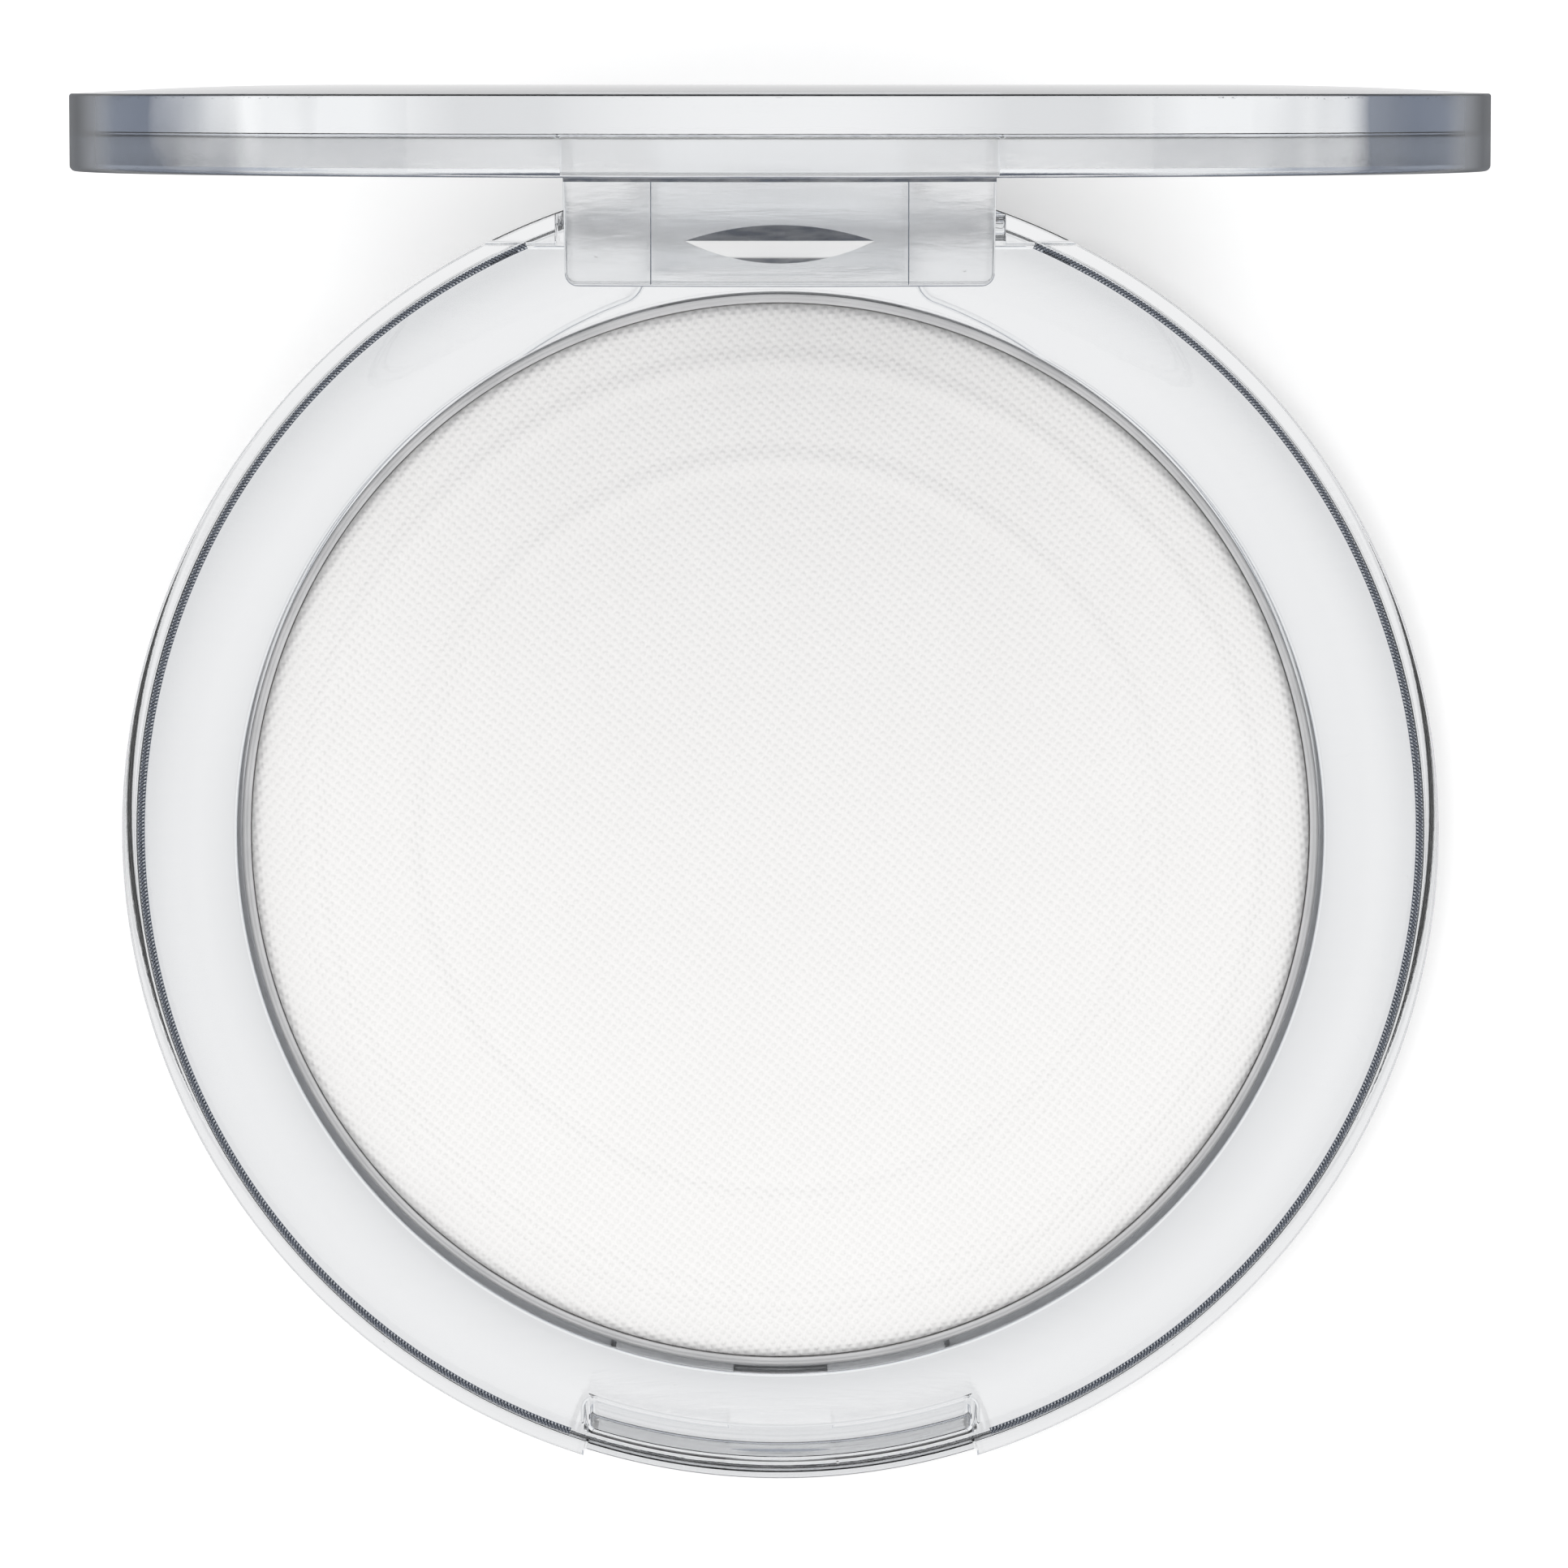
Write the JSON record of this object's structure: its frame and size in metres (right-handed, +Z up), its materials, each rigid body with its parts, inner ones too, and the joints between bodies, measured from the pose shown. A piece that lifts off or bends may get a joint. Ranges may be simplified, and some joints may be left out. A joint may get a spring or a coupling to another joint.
{
  "type": "powder compact",
  "caption": "Round clear-plastic pressed-powder compact with a hinged snap lid, shown open at a right angle.",
  "frame": {"origin": "middle of the base's flat underside", "axes": "+Z up out of the base, +Y towards the hinge, +X to the right seen from the latch"},
  "size_m": [0.072, 0.0768, 0.074],
  "materials": {
    "clear_shell": "clear, polished",
    "clear_frame": "clear, glossy",
    "clear_lid": "clear, polished",
    "adhesive": "soft double-sided film",
    "pan_metal": "drawn sheet, satin",
    "powder": "pressed powder with a woven texture",
    "pin_steel": "drawn wire"
  },
  "bodies": {
    "base": {"base_shell": "clear_shell", "inner_frame": "clear_frame", "pan_adhesive": "adhesive", "powder_pan": "pan_metal", "powder_cake": "powder", "hinge_pin": "pin_steel"},
    "lid": {"lid": "clear_lid"}
  },
  "joints": [
    {"name": "lid_hinge", "type": "hinge", "parent": "base", "child": "lid", "pos_m": [0, 0.033, 0.005], "axis": [1, 0, 0], "range_deg": [0, 90]}
  ]
}
